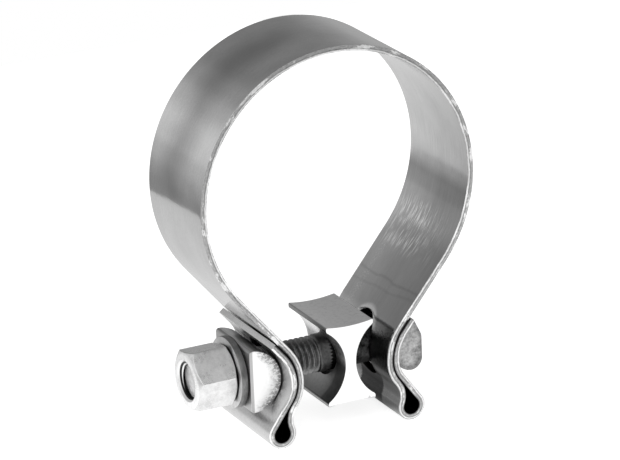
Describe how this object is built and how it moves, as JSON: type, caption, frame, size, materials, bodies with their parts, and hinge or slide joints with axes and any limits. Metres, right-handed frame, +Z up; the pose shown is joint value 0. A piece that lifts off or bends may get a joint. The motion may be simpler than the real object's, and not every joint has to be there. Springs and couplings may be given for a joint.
{
  "type": "exhaust clamp",
  "caption": "Folded-band exhaust clamp with a cross bolt, hex nut, washer, half-round spacer and concave spacer block between its ears.",
  "frame": {"origin": "centre of the ring's bore, halfway across the band", "axes": "+Y along the pipe, +X along the bolt toward its head, +Z up, away from the bolt"},
  "size_m": [0.0762, 0.031, 0.1034],
  "materials": {
    "band_steel": "satin rolled stainless strip",
    "spacer_steel": "matt pressed steel, bare",
    "bolt_steel": "dark forged and rolled steel",
    "washer_steel": "turned steel",
    "nut_steel": "forged steel, lightly marked flats"
  },
  "bodies": {
    "clamp": {"band": "band_steel", "bolt": "bolt_steel"},
    "block": {"spacer_block": "spacer_steel"},
    "half_round": {"half_round_spacer": "spacer_steel"},
    "washer": {"washer": "washer_steel"},
    "nut": {"nut": "nut_steel"}
  },
  "joints": [
    {"name": "block_slide", "type": "slide", "parent": "clamp", "child": "block", "axis": [1, 0, 0], "range_m": [-0.012, 0.0044]},
    {"name": "half_round_slide", "type": "slide", "parent": "clamp", "child": "half_round", "axis": [1, 0, 0], "range_m": [-0.008, 0]},
    {"name": "nut_travel", "type": "slide", "parent": "clamp", "child": "washer", "axis": [1, 0, 0], "range_m": [-0.008, 0]},
    {"name": "nut_turn", "type": "hinge", "parent": "washer", "child": "nut", "pos_m": [-0.032, 0, -0.0481], "axis": [1, 0, 0], "range_deg": [-1925, 0]}
  ],
  "couplings": [
    {"joint": "nut_turn", "follows": "nut_travel", "rad_per_m": 4188.8},
    {"joint": "half_round_slide", "follows": "nut_travel", "ratio": 1}
  ]
}
